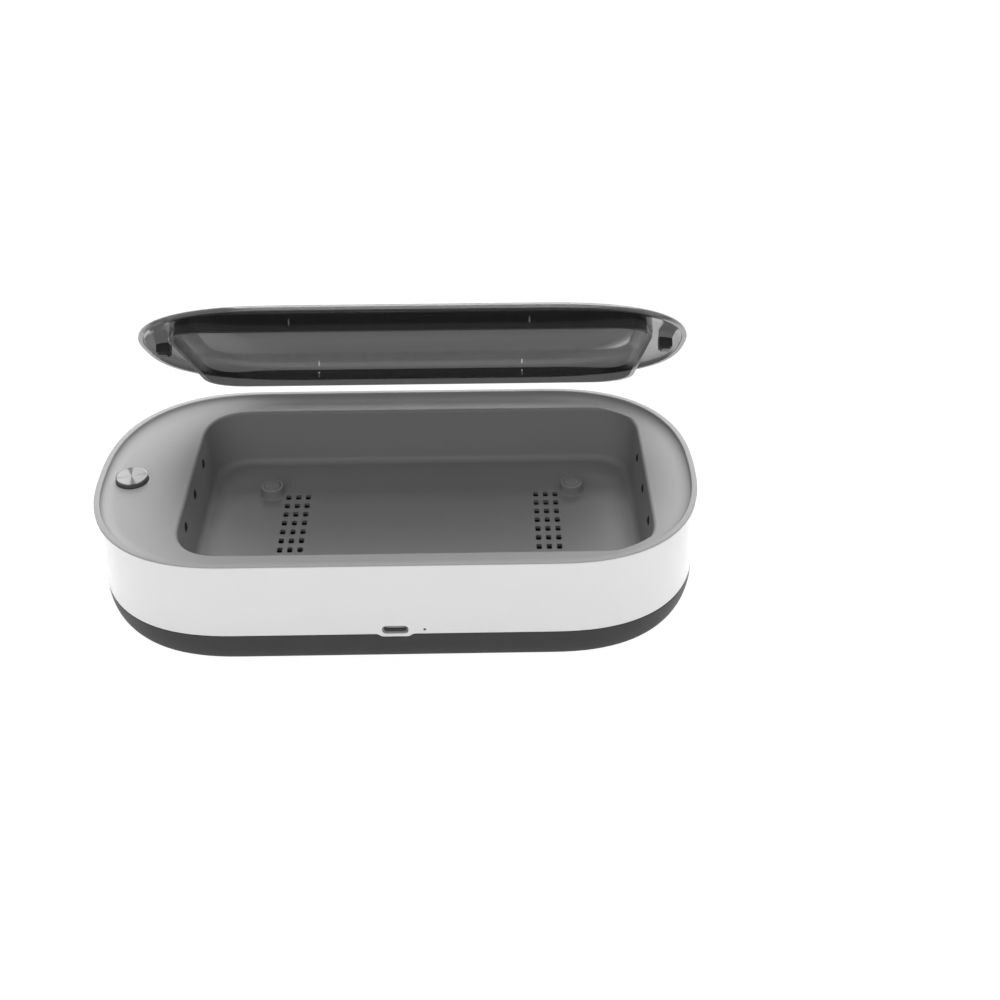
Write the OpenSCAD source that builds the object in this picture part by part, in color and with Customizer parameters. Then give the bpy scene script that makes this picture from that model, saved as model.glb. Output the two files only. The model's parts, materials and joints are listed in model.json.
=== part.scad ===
// Ultraviolet sanitizing box for a phone, in millimetres.
// The origin is on the surface that the box stands on, under its centre. X runs along the
// length, the cable socket faces -Y and Z is up. The lid is drawn tipped open.

/* [Box] */
// Length of the box
box_l = 225; // [215:1:240]
// Width of the box
box_w = 117; // [113:1:125]
// How far each rounded end reaches along the length
end_reach = 56.5; // [52:0.5:57]
// Fullness of every rounded outline, where 2 is an ellipse
fullness = 2.44; // [2.2:0.02:2.8]
// Height of the white wall
wall_h = 31.7; // [31:0.1:36]
// Thickness of the white wall and of the base
wall_t = 2.2; // [2:0.1:2.5]
// Thickness of the white wall beside the tub's rim
rim_skin = 0.9; // [0.8:0.05:1]

/* [Base] */
// Height of the upright part of the dark base
base_side_h = 2; // [1.6:0.1:3]
// Height over which the base rounds in
base_round_h = 13.3; // [12.5:0.1:15]
// How far the base rounds in at its foot
base_round_in = 9; // [7:0.1:10]
// Thickness of the base's floor
base_floor_t = 2; // [1.8:0.1:2.4]
// How far the rubber feet stand out below the base
foot_proud = 0.8; // [0.5:0.1:1.5]
// Diameter of each rubber foot
foot_d = 10; // [8:0.5:12]
// How deep each foot is set into the base
foot_sink = 1.2; // [0.8:0.1:1.3]
// Distance of the feet from the middle along the length
foot_x = 74; // [66:1:80]
// Distance of the feet from the middle across the width
foot_y = 30; // [26:1:33]
// Height of the tongue that locates the white wall on the base
tongue_h = 3; // [2:0.2:4]
// Thickness of that tongue
tongue_t = 1.2; // [1:0.1:1.4]

/* [Tub] */
// Width of the deck between the box's end and the tub, on the button's side
deck_left = 33.9; // [32:0.1:36]
// Width of the deck at the other end
deck_right = 18.6; // [17:0.1:20]
// Width of the tub's opening
tub_w = 95; // [91:0.5:96]
// Depth from the deck to the tub's floor
tub_depth = 23.3; // [21:0.1:23.5]
// Corner radius of the opening
tub_corner = 18.5; // [14:0.5:24]
// Thickness of the tub's walls and floor
tub_t = 1.8; // [1.5:0.1:2]
// How far the tub's walls lean in from top to bottom
tub_lean = 1.8; // [1:0.1:2.5]
// Radius between the tub's walls and its floor
floor_round = 4.5; // [3:0.5:6]
// Radius of the edge between the deck and the opening
edge_round = 1.2; // [0.8:0.1:1.8]
// Depth of the deck below the rim
deck_drop = 3.2; // [2.8:0.1:4]
// Thickness of the deck
deck_t = 2; // [1.8:0.1:2.4]
// Width of the rim's flat top
rim_w = 2.1; // [2:0.1:2.6]
// Thickness of the rim where it caps the white wall
cap_t = 0.8; // [0.6:0.1:1]

/* [Vents and rests] */
// Columns of vent holes in each field
vent_cols = 3; // [2:1:4]
// Rows of vent holes in each field
vent_rows = 8; // [5:1:9]
// Spacing of the vent columns
vent_pitch_x = 3.9; // [3.4:0.1:4.4]
// Spacing of the vent rows
vent_pitch_y = 5.8; // [4.6:0.1:6.2]
// Width of each vent hole
vent_w = 1.9; // [1.4:0.1:2.2]
// Length of each vent hole, across the box
vent_l = 3; // [2:0.1:3.4]
// Distance of each vent field from the tub's middle
vent_x = 49.5; // [46:0.5:50]
// Diameter of each phone rest
rest_d = 9; // [8:0.2:10]
// Height of each phone rest
rest_h = 4; // [3:0.1:5]
// Distance of the rests from the tub's middle along the length
rest_x = 60; // [60:0.5:66]
// Distance of the far rests from the middle across the width
rest_y_far = 23; // [21:0.5:28]
// Distance of the near rests from the middle across the width
rest_y_near = 27.5; // [26:0.5:30]
// Diameter of the soft pad in the top of each rest
pad_d = 6.4; // [5.6:0.1:7]
// Thickness of that pad
pad_t = 1; // [0.8:0.1:1.4]

/* [Lamps] */
// Depth of the lamp ports below the rim
port_drop = 10.3; // [9.8:0.1:12]
// Diameter of each lamp port
port_d = 3.4; // [3:0.1:3.8]
// Spacing of the lamp ports along an end wall
port_pitch = 21; // [17:0.2:22]
// Lamp ports in each end wall
port_count = 3; // [3:1:4]
// Thickness of each lamp window
window_t = 0.5; // [0.4:0.1:0.7]
// Side of each lamp chip
lamp_size = 3.5; // [3:0.1:4]
// Thickness of each lamp chip
lamp_t = 1.5; // [1.2:0.1:1.8]
// Gap between the tub's wall and the lamp chips
lamp_gap = 0.5; // [0.3:0.1:0.8]
// Height of each lamp board
strip_h = 7; // [6.5:0.5:8]
// Thickness of each lamp board
strip_t = 1; // [0.8:0.1:1.2]

/* [Button] */
// Diameter of the button
button_d = 12; // [10:0.2:13]
// Height of the button above the deck
button_h = 2; // [1.5:0.1:2.4]
// Distance of the button from the box's end
button_in = 11.6; // [11:0.1:12.4]
// Travel of the button
button_travel = 0.8; // [0.5:0.1:1]
// Gap all round the button
button_gap = 0.25; // [0.2:0.05:0.4]
// Diameter of the button's stem
stem_d = 4; // [3:0.2:5]
// Side of the switch under the button
switch_size = 6; // [5.6:0.2:6.6]
// Height of the switch's housing
switch_h = 3.4; // [3:0.1:3.8]
// Diameter of the switch's plunger
plunger_d = 3.5; // [3:0.1:3.8]
// Width of the switch board along the box
switch_board_w = 14; // [12:0.5:15]
// Length of the switch board across the box
switch_board_l = 26; // [25:0.5:30]

/* [Board and socket] */
// Length of the main board
board_l = 74; // [66:1:80]
// Width of the main board
board_w = 48; // [42:1:52]
// Thickness of the boards
board_t = 1.6; // [1.2:0.1:1.8]
// Width of the socket's shell
socket_w = 8.94; // [8.8:0.02:9]
// Height of the socket's shell
socket_h = 3.16; // [3.1:0.02:3.2]
// Length of the socket's shell
socket_l = 7.4; // [7:0.1:7.8]
// Distance of the socket's middle above the seam
socket_up = 2.05; // [2:0.05:2.4]
// Clearance round the socket in its slot
socket_gap = 0.1; // [0.08:0.01:0.15]
// Depth of the wall's tab below the seam
tab_h = 1.2; // [1:0.1:1.6]
// Width of that tab at the seam
tab_w = 13.8; // [13:0.2:15]
// Diameter of the indicator's pinhole
pinhole_d = 1; // [0.8:0.1:1.4]
// Distance of the indicator from the middle
pinhole_x = 10.5; // [9.6:0.1:12]
// Diameter of the inner leads
lead_d = 1.6; // [1.2:0.1:2]

/* [Chips] */
// Side of the control chip
chip_w = 8; // [6:0.5:10]
// Length of the power chip
power_l = 6; // [4:0.5:8]
// Width of the power chip
power_w = 5; // [4:0.5:6]
// Thickness of both chips
chip_t = 1; // [0.8:0.1:1.2]
// Side of the coil
coil_w = 7; // [5:0.5:8]
// Height of the coil
coil_h = 3.2; // [2.5:0.1:4]
// Diameter of the tall capacitors
cap_d = 5; // [4:0.5:6]
// Height of the tall capacitors
cap_h = 6; // [5:0.5:7]
// Distance between the chips on the main board
chip_pitch = 26; // [20:0.5:30]

/* [Screws] */
// Distance of the base screws from the box's end, on the button's side
screw_in_left = 20.5; // [20:0.5:22]
// Distance of the base screws from the box's other end
screw_in_right = 8.5; // [8:0.5:9]
// Distance of the base screws from the middle, on the button's side
screw_y_left = 24; // [22:0.5:26]
// Distance of the base screws from the middle, at the other end
screw_y_right = 16; // [14:0.5:18]
// Shank diameter of the base screws
screw_d = 3; // [2.6:0.1:3.2]
// Head diameter of the base screws
screw_head_d = 5.4; // [5:0.1:5.8]
// Length of the base screws under the head
screw_l = 14; // [12:0.5:16]
// Shank diameter of the board screws
small_screw_d = 2; // [1.8:0.1:2.2]
// Head diameter of the board screws
small_head_d = 3.6; // [3.2:0.1:4]
// Length of the board screws under the head
small_screw_l = 4.4; // [4:0.1:4.8]

/* [Lid] */
// How far the lid reaches past the tub's opening at each end
lid_over_end = 13.5; // [13:0.25:14]
// How far the lid reaches past the tub's opening at each side
lid_over_side = 7; // [5.5:0.25:8]
// How far each rounded end of the lid reaches along the length
lid_reach = 57.6; // [54:0.2:60]
// Fullness of the lid's outline
lid_fullness = 2.6; // [2.4:0.02:2.8]
// Thickness of the lid
lid_t = 1.7; // [1.5:0.1:2]
// Height of the lid's upright edge
lid_edge_h = 0.7; // [0.5:0.1:1]
// Height of the lid's skirt below its edge
skirt_h = 4.1; // [3.6:0.1:4.6]
// Thickness of the skirt
skirt_t = 1.8; // [1.4:0.1:2]
// Gap between the skirt and the opening
skirt_gap = 1.7; // [1.2:0.1:2]
// Rise of the dome above the lid's upright edge
dome_h = 3.5; // [3:0.1:4]
// How far the dome's rounding reaches in from the lid's long edges
dome_side = 8; // [7:0.5:10]
// How far the dome's rounding reaches in from the lid's ends
dome_end = 13; // [11:0.5:15]
// Angle at which the lid is tipped open
lid_tip = 42.3; // [20:0.1:50]
// Distance of the line that the lid tips about behind the box
tip_back = 5.8; // [4:0.1:7]
// Depth of that line below the rim
tip_drop = 1.7; // [1:0.1:2.4]
// Diameter of the magnets
magnet_d = 3; // [2.8:0.1:3.4]
// Thickness of the magnets
magnet_t = 1.5; // [1.2:0.1:1.6]
// Length of each magnet holder
holder_l = 4.6; // [4.4:0.1:5.2]
// Width of each magnet holder
holder_w = 6; // [5.4:0.1:6.8]
// Depth of each magnet holder below the lid's edge
holder_drop = 1.5; // [1.3:0.1:1.8]
// Distance of each magnet holder from the skirt
holder_out = 5.9; // [5.4:0.1:6.2]
// Distance of the magnet holders from the middle, towards the front
holder_front = 2.2; // [0:0.1:3]

/* [Hidden] */
$fn = 48;

// Clearance between pieces that are pushed together
fit = 0.1;
// Clearance between pieces that only come to rest near each other
rest_gap = 0.3;
// Depth that a cut runs past the face it opens
over = 1;
// Steps in a quarter of the box's outline
end_n = 15;
// Steps in a quarter turn of a small rounding
round_n = 5;

seam_z = foot_proud + base_round_h + base_side_h;
rim_z = seam_z + wall_h;
deck_z = rim_z - deck_drop;
deck_low = deck_z - deck_t;
floor_z = deck_z - tub_depth;
base_in_z = foot_proud + base_floor_t;
// The pads stand this far out of their rests
pad_proud = 0.2;
pad_low = floor_z + rest_h + pad_proud - pad_t;
port_z = rim_z - port_drop;
tub_l = box_l - deck_left - deck_right;
tub_x = (deck_left - deck_right) / 2;
tub_left = tub_x - tub_l / 2;
tub_right = tub_x + tub_l / 2;
rest_spots = [
  for (side = [-1, 1])
    for (y = [-rest_y_near, rest_y_far])
      [tub_x + side * rest_x, y]
];

socket_z = seam_z + socket_up;
board_top = socket_z - socket_h / 2 - fit / 2;
board_low = board_top - board_t;
// Lamp of the indicator, and the light pipe's block over it
led_w = 1.6;
led_h = 0.8;
pipe_w = 2;
wall_in_y = box_w / 2 - wall_t;
// The boards' front edge stands this far behind the tongue, and their screws this far in
board_gap = 0.5;
standoff_in = 4;
board_y0 = -(wall_in_y - fit - tongue_t - board_gap);
standoff_d = 5;
screw_head_h = 2;
small_head_h = 1.3;
// Screw bosses and pillars: the walls round their bores, and the pillars' height
boss_wall = 2;
small_boss_wall = 1.5;
pillar_h = 5.2;
boss_d = screw_d + 2 * boss_wall;
boss_low = base_in_z + pillar_h;
small_boss_d = small_screw_d + 2 * small_boss_wall;
boss_left = screw_in_left - box_l / 2;
boss_right = box_l / 2 - screw_in_right;
boss_spots = [
  [boss_left, screw_y_left],
  [boss_left, -screw_y_left],
  [boss_right, screw_y_right],
  [boss_right, -screw_y_right]
];

// Button: its skirt below the deck, and the heights of its switch
button_x = box_l / 2 - button_in;
button_below = 1.2;
button_bevel = 0.4;
plunger_h = 1;
cap_top = deck_z + button_h;
cap_body_low = deck_z - button_below;
plunger_top = deck_low - button_below;
switch_top = plunger_top - plunger_h;
switch_low = switch_top - switch_h;
switch_boss_y = 10;

// Lamp boards stand behind the end walls of the tub
port_depth_part = (deck_z - port_z) / tub_depth;
port_wall = tub_lean * port_depth_part;
lamp_face = tub_t - port_wall + lamp_gap;
// Where the bores of the lamp boards' screws start, from the tub's end
bore_start = 0.4;
strip_margin = 4;
strip_l = (port_count - 1) * port_pitch + lamp_size + 2 * strip_margin;
strip_face = lamp_face + lamp_t;
// The screws of the lamp boards stand between the ports
strip_boss_y = port_count % 2 == 1 ? port_pitch / 2 : port_pitch;

// Stepped magnet holders outside the skirt: the closed lid stands on them, at lid_z
holder_step = 0.6;
holder_step_h = 0.7;
holder_x = tub_l / 2 - skirt_gap + holder_out + holder_l / 2;
lid_z = deck_z + rest_gap + holder_step_h + holder_drop;
holder_low = lid_z - holder_drop;
magnet_low = holder_low + 1;
lid_l = tub_l + 2 * lid_over_end;
lid_w = tub_w + 2 * lid_over_side;
tip_y = box_w / 2 + tip_back;
tip_z = rim_z - tip_drop;

// The leads meet the main board this far in from its inner edge, and rise to it over this run
lead_in = 13.5;
lead_rise = 6;
lead_bend = 4;
lead_y = board_y0 + board_w - lead_in;
button_lead_y = board_y0 + board_w - standoff_in;

// Closed outline with full corners of rx by ry. Where ry is half of w the ends are whole curves.
function outline(l, w, rx, ry, n, full = fullness) =
  let (
    e = 2 / full,
    first = w / 2 - ry < 0.01 ? 1 : 0,
    q = [for (i = [0 : n]) [
      l / 2 - rx + rx * pow(cos(90 * i / n), e),
      w / 2 - ry + ry * pow(sin(90 * i / n), e)
    ]]
  )
  concat(
    q,
    [for (i = [n : -1 : 0]) [-q[i][0], q[i][1]]],
    [for (i = [first : n]) [-q[i][0], -q[i][1]]],
    [for (i = [n : -1 : first]) [q[i][0], -q[i][1]]]
  );

// Outline of the box, of the tub's opening and of the lid, each drawn in by d
function box_line(d) = outline(box_l - 2 * d, box_w - 2 * d, end_reach - d, box_w / 2 - d, end_n);
function tub_line(d) = [
  for (p = outline(tub_l - 2 * d, tub_w - 2 * d, tub_corner - d, tub_corner - d, 8))
    [p[0] + tub_x, p[1]]
];
function lid_line(dx, dy) = [
  for (p = outline(lid_l - 2 * dx, lid_w - 2 * dy, lid_reach - dx, lid_w / 2 - dy, end_n,
    lid_fullness))
    [p[0] + tub_x, p[1]]
];

// Closed solid through a stack of outlines that have the same number of points
module loft(lines, heights) {
  n = len(lines[0]);
  top = len(heights) - 1;
  points = [for (j = [0 : top]) for (p = lines[j]) [p[0], p[1], heights[j]]];
  sides = [
    for (j = [0 : top - 1])
      for (i = [0 : n - 1])
        let (a = j * n + i, b = j * n + (i + 1) % n)
          each [[a, a + n, b + n], [a, b + n, b]]
  ];
  lid = [for (i = [n - 1 : -1 : 0]) top * n + i];
  polyhedron(points = points, faces = concat([[for (i = [0 : n - 1]) i]], [lid], sides));
}

// Upright ring between two outlines
module wall_ring(outer, inner, low, high) {
  translate([0, 0, low])
    linear_extrude(high - low)
      difference() {
        polygon(outer);
        polygon(inner);
      }
}

module disc(x, y, low, high, d) {
  translate([x, y, low])
    cylinder(h = high - low, d = d);
}

// Box by its two corners
module block(low, high) {
  translate(low)
    cube([high[0] - low[0], high[1] - low[1], high[2] - low[2]]);
}

// Lead in an upright plane at y, through points of x and z, with a flat end on each side
module lead(y, route) {
  last = len(route) - 1;
  sides = 8;
  dirs = [
    for (i = [0 : last])
      let (d = route[min(i + 1, last)] - route[max(i - 1, 0)]) d / norm(d)
  ];
  points = [
    for (i = [0 : last])
      for (k = [0 : sides - 1])
        let (c = lead_d / 2 * cos(360 * k / sides), s = lead_d / 2 * sin(360 * k / sides))
          [route[i][0] - dirs[i][1] * c, y + s, route[i][1] + dirs[i][0] * c]
  ];
  walls = [
    for (i = [0 : last - 1])
      for (k = [0 : sides - 1])
        let (a = i * sides + k, b = i * sides + (k + 1) % sides)
          each [[a, b, b + sides], [a, b + sides, a + sides]]
  ];
  near = [for (k = [sides - 1 : -1 : 0]) k];
  far = [for (k = [0 : sides - 1]) last * sides + k];
  polyhedron(points = points, faces = concat([near], [far], walls));
}

// Points on a quarter bend of radius r from a heading to a heading that is turned by turn
function bend(centre, r, from, turn) = [
  for (i = [1 : 4])
    centre + r * [cos(from + turn * i / 5), sin(from + turn * i / 5)]
];

// Places what is drawn closed where the tipped lid is
module tipped() {
  translate([0, tip_y, tip_z])
    rotate([-lid_tip, 0, 0])
      translate([0, -tip_y, -tip_z])
        children();
}

// Places children at both ends of the tub, mirrored about its middle
module each_end() {
  for (side = [-1, 1])
    translate([tub_x, 0, 0])
      scale([side, 1, 1])
        children();
}

function port_y(i) = (i - (port_count - 1) / 2) * port_pitch;

module slot_prism(w, h, y0, y1, z) {
  translate([0, y1, z])
    rotate([90, 0, 0])
      linear_extrude(y1 - y0)
        union() {
          square([w - h, h], center = true);
          for (side = [-1, 1])
            translate([side * (w - h) / 2, 0])
              circle(d = h);
        }
}

// Tab of the white wall that closes the base's notch under the socket
module tab_prism(grow) {
  half = tab_w / 2 + grow;
  slope = 2.4;
  translate([0, -box_w / 2 + wall_t + grow, 0])
    rotate([90, 0, 0])
      linear_extrude(wall_t + over)
        polygon([
          [-half, seam_z + over],
          [-half, seam_z],
          [slope - half, seam_z - tab_h - grow],
          [half - slope, seam_z - tab_h - grow],
          [half, seam_z],
          [half, seam_z + over]
        ]);
}

module outer_shell() {
  color("white")
    difference() {
      union() {
        wall_ring(box_line(0), box_line(wall_t), seam_z, deck_low);
        wall_ring(box_line(0), box_line(rim_skin), deck_low, rim_z - cap_t);
        intersection() {
          wall_ring(box_line(0), box_line(wall_t), seam_z - tab_h, seam_z);
          tab_prism(0);
        }
      }
      slot_prism(socket_w + 2 * socket_gap, socket_h + 2 * socket_gap,
        -box_w / 2 - over, -wall_in_y + over, socket_z);
      translate([pinhole_x, -wall_in_y + over, socket_z])
        rotate([90, 0, 0])
          cylinder(h = wall_t + 2 * over, d = pinhole_d + fit);
    }
}

// Hollow of the tub, with its rounded top edge and floor
module tub_hollow() {
  lean_to = tub_lean * (tub_depth - floor_round) / tub_depth;
  turn = [for (i = [0 : round_n]) 90 * i / round_n];
  floor_in = [for (a = turn) lean_to + floor_round * (1 - sin(a))];
  floor_h = [for (a = turn) floor_z + floor_round * (1 - cos(a))];
  edge_in = [for (a = turn) -edge_round * (1 - cos(a))];
  edge_h = [for (a = turn) deck_z - edge_round * (1 - sin(a))];
  insets = concat(floor_in, edge_in, [-edge_round]);
  loft([for (d = insets) tub_line(d)], concat(floor_h, edge_h, [deck_z + over]));
}

module tub_outside() {
  lean_to = tub_lean * (tub_depth - floor_round) / tub_depth;
  r = floor_round + tub_t;
  turn = [for (i = [0 : 4]) 90 * i / 4];
  insets = concat([for (a = turn) lean_to - tub_t + r * (1 - sin(a))], [-tub_t]);
  heights = concat([for (a = turn) floor_z - tub_t + r * (1 - cos(a))], [deck_low + deck_t / 2]);
  loft([for (d = insets) tub_line(d)], heights);
}

// Upright cylinder with a sloping foot
module rest_post(x, y) {
  foot = 1;
  disc(x, y, floor_z - tub_t / 2, floor_z + rest_h, rest_d);
  translate([x, y, floor_z])
    cylinder(h = foot, d1 = rest_d + 2 * foot, d2 = rest_d);
}

module vents() {
  for (side = [-1, 1])
    for (i = [0 : vent_cols - 1])
      for (j = [0 : vent_rows - 1])
        translate([
          tub_x + side * vent_x + (i - (vent_cols - 1) / 2) * vent_pitch_x,
          (j - (vent_rows - 1) / 2) * vent_pitch_y,
          floor_z - tub_t / 2
        ])
          cube([vent_w, vent_l, tub_t + 2 * over], center = true);
}

// Everything that is cut through one end wall of the tub or hangs behind it
module port_cuts() {
  for (i = [0 : port_count - 1])
    translate([tub_l / 2 - tub_lean - over, port_y(i), port_z])
      rotate([0, 90, 0])
        cylinder(h = tub_lean + tub_t + 2 * over, d = port_d);
}

module strip_bosses() {
  for (side = [-1, 1])
    translate([tub_l / 2 - port_wall + tub_t / 2, side * strip_boss_y, port_z])
      rotate([0, 90, 0])
        cylinder(h = strip_face - tub_t / 2 + port_wall, d = small_boss_d);
}

module strip_boss_bores() {
  for (side = [-1, 1])
    translate([tub_l / 2 + bore_start, side * strip_boss_y, port_z])
      rotate([0, 90, 0])
        cylinder(h = strip_face + over, d = small_screw_d + fit);
}

module inner_tub() {
  color("dimgray")
    difference() {
      union() {
        wall_ring(box_line(0), box_line(rim_w), rim_z - cap_t, rim_z);
        wall_ring(box_line(rim_skin + fit), box_line(rim_w), deck_z, rim_z - cap_t);
        translate([0, 0, deck_low])
          linear_extrude(deck_t)
            polygon(box_line(rim_skin + fit));
        tub_outside();
        for (p = boss_spots)
          disc(p[0], p[1], boss_low, deck_low + deck_t / 2, boss_d);
        for (side = [-1, 1])
          disc(-button_x, side * switch_boss_y, switch_low, deck_low + deck_t / 2, small_boss_d);
        each_end()
          strip_bosses();
      }
      difference() {
        tub_hollow();
        for (p = rest_spots)
          rest_post(p[0], p[1]);
      }
      for (p = rest_spots)
        disc(p[0], p[1], pad_low, floor_z + rest_h + over, pad_d + fit);
      vents();
      each_end()
        port_cuts();
      each_end()
        strip_boss_bores();
      for (p = boss_spots)
        disc(p[0], p[1], boss_low - over, boss_low + screw_l, screw_d + fit);
      for (side = [-1, 1])
        disc(-button_x, side * switch_boss_y, switch_low - over, deck_low, small_screw_d + fit);
      disc(-button_x, 0, deck_low - over, deck_z + over, button_d + 2 * button_gap);
      each_end()
        disc(holder_x, -holder_front, deck_low - over, deck_low + magnet_t + fit, magnet_d + fit);
    }
}

// Rounded form of the base, drawn in by side_t: its outside where that is 0, else its hollow
module base_form(side_t, low, high) {
  turn = [for (i = [0 : 7]) 90 * i / 7];
  insets = concat([for (a = turn) side_t + base_round_in * (1 - sin(a))], [side_t]);
  round_top = foot_proud + base_round_h;
  heights = concat([for (a = turn) low + (round_top - low) * (1 - cos(a))], [high]);
  loft([for (d = insets) box_line(d)], heights);
}

function standoffs() = [
  for (sx = [-1, 1])
    for (y = [board_y0 + standoff_in, board_y0 + board_w - standoff_in])
      [sx * (board_l / 2 - standoff_in), y]
];

module base_cover() {
  ledge_low = seam_z - 1.6;
  ledge_t = 0.8;
  notch_y = 4;
  socket_notch = socket_w / 2 + 1;
  pipe_notch = pipe_w / 2 + 0.6;
  color([0.05, 0.05, 0.055])
    difference() {
      union() {
        difference() {
          base_form(0, foot_proud, seam_z);
          base_form(wall_t, base_in_z, seam_z + over);
        }
        wall_ring(box_line(wall_t + fit), box_line(wall_t + fit + tongue_t),
          ledge_low + ledge_t / 2, seam_z + tongue_h);
        wall_ring(box_line(wall_t / 2), box_line(wall_t + fit + tongue_t), ledge_low,
          ledge_low + ledge_t);
        for (p = boss_spots)
          disc(p[0], p[1], foot_proud + base_floor_t / 2, boss_low, boss_d + over);
        for (p = standoffs())
          disc(p[0], p[1], foot_proud + base_floor_t / 2, board_low, standoff_d);
      }
      tab_prism(fit);
      block([-socket_notch, -wall_in_y, board_top], [socket_notch, notch_y - wall_in_y, rim_z]);
      block([pinhole_x - pipe_notch, -wall_in_y, board_top],
        [pinhole_x + pipe_notch, notch_y - wall_in_y, rim_z]);
      for (p = boss_spots)
        disc(p[0], p[1], -over, base_in_z + screw_head_h, screw_head_d + 4 * fit);
      for (p = boss_spots)
        disc(p[0], p[1], 0, rim_z, screw_d + 4 * fit);
      for (p = standoffs())
        disc(p[0], p[1], board_low - small_screw_l, board_low + over, small_screw_d + fit);
      for (sx = [-1, 1])
        for (sy = [-1, 1])
          disc(sx * foot_x, sy * foot_y, 0, foot_proud + foot_sink, foot_d + fit);
    }
}

module rubber_feet() {
  color([0.12, 0.12, 0.12])
    for (sx = [-1, 1])
      for (sy = [-1, 1])
        disc(sx * foot_x, sy * foot_y, 0, foot_proud + foot_sink, foot_d);
}

module base_screws() {
  head_z = base_in_z + screw_head_h;
  slot_w = 0.6;
  slot_l = 3;
  slot_deep = 1;
  color("silver")
    for (p = boss_spots)
      difference() {
        union() {
          disc(p[0], p[1], base_in_z, head_z, screw_head_d);
          disc(p[0], p[1], head_z, head_z + screw_l, screw_d);
        }
        for (turn = [0, 90])
          translate([p[0], p[1], base_in_z])
            rotate([0, 0, turn])
              cube([slot_l, slot_w, 2 * slot_deep], center = true);
      }
}

module main_board() {
  color("darkgreen")
    difference() {
      block([-board_l / 2, board_y0, board_low], [board_l / 2, board_y0 + board_w, board_top]);
      for (p = standoffs())
        disc(p[0], p[1], board_low - over, board_top + over, small_screw_d + 2 * fit);
    }
}

// Chip by its middle, flat on the main board
module chip(x, y, l, w) {
  block([x - l / 2, y - w / 2, board_top], [x + l / 2, y + w / 2, board_top + chip_t]);
}

// Chips on top of the main board, and the taller coil and capacitors under it
module board_components() {
  mid_y = board_y0 + board_w / 2;
  row_y = mid_y + coil_w / 2 + chip_w / 2;
  color([0.15, 0.15, 0.16]) {
    chip(-chip_pitch / 2, mid_y, chip_w, chip_w);
    chip(chip_pitch / 2, mid_y, power_w, power_l);
    block([-coil_w, row_y - coil_w / 2, board_low - coil_h], [0, row_y + coil_w / 2, board_low]);
    disc(chip_pitch / 2, row_y, board_low - cap_h, board_low, cap_d);
    disc(chip_pitch / 2 + 1.6 * cap_d, row_y, board_low - cap_h, board_low, cap_d);
    disc(-chip_pitch / 2, mid_y - chip_w, board_low - coil_h, board_low, cap_d);
  }
}

module small_screw() {
  union() {
    cylinder(h = small_head_h, d = small_head_d);
    translate([0, 0, -small_screw_l])
      cylinder(h = small_screw_l + small_head_h / 2, d = small_screw_d);
  }
}

module board_screws() {
  // The lamp boards' screws stop short of the tub's wall
  reach = strip_t + strip_face - bore_start - 0.2;
  color("gainsboro") {
    for (p = standoffs())
      translate([p[0], p[1], board_top])
        small_screw();
    for (side = [-1, 1])
      translate([-button_x, side * switch_boss_y, switch_low - board_t])
        rotate([180, 0, 0])
          small_screw();
    each_end()
      for (side = [-1, 1])
        translate([tub_l / 2 + strip_face + strip_t, side * strip_boss_y, port_z])
          rotate([0, 90, 0])
            difference() {
              small_screw();
              translate([0, 0, -small_screw_l - over])
                cylinder(h = small_screw_l + over - reach, d = small_head_d);
            }
  }
}

module usb_c_receptacle() {
  set_back = 0.6;
  shell_t = 0.3;
  back_t = 1;
  tongue_half = 3.3;
  front = -box_w / 2 + set_back;
  color("silver") {
    difference() {
      slot_prism(socket_w, socket_h, front, front + socket_l, socket_z);
      slot_prism(socket_w - 2 * shell_t, socket_h - 2 * shell_t, front - over,
        front + socket_l - back_t, socket_z);
    }
    block([-tongue_half, front + back_t, socket_z - 0.35],
      [tongue_half, front + socket_l - back_t / 2, socket_z + 0.35]);
  }
}

module status_led() {
  color("lightyellow")
    block([pinhole_x - led_w / 2, board_y0 + pipe_w / 2, board_top],
      [pinhole_x + led_w / 2, board_y0 + pipe_w, board_top + led_h]);
}

// Rod in the pinhole, with a block that reaches over the indicator's lamp
module light_pipe() {
  root = 0.4;
  color("whitesmoke")
    union() {
      translate([pinhole_x, root - wall_in_y, socket_z])
        rotate([90, 0, 0])
          cylinder(h = wall_t + root / 2, d = pinhole_d);
      block([pinhole_x - pipe_w / 2, root / 2 - wall_in_y, board_top + led_h + fit],
        [pinhole_x + pipe_w / 2, board_y0 + pipe_w, socket_z + pipe_w / 2]);
    }
}

module switch_board() {
  color("darkgreen")
    difference() {
      block([-button_x - switch_board_w / 2, -switch_board_l / 2, switch_low - board_t],
        [-button_x + switch_board_w / 2, switch_board_l / 2, switch_low]);
      for (side = [-1, 1])
        disc(-button_x, side * switch_boss_y, switch_low - board_t - over, switch_low + over,
          small_screw_d + 2 * fit);
    }
}

module button_switch() {
  half = switch_size / 2;
  well = button_travel + 2 * rest_gap;
  color("black")
    difference() {
      block([-button_x - half, -half, switch_low], [-button_x + half, half, switch_top]);
      disc(-button_x, 0, switch_top - well, switch_top + over, plunger_d + 2 * fit);
    }
}

module switch_plunger() {
  color("dimgray")
    disc(-button_x, 0, switch_top - rest_gap, plunger_top, plunger_d);
}

module button_cap() {
  color("silver")
    translate([-button_x, 0, 0])
      rotate_extrude()
        polygon([
          [0, plunger_top],
          [stem_d / 2, plunger_top],
          [stem_d / 2, cap_body_low],
          [button_d / 2, cap_body_low],
          [button_d / 2, cap_top - button_bevel],
          [button_d / 2 - button_bevel, cap_top],
          [0, cap_top]
        ]);
}

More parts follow.
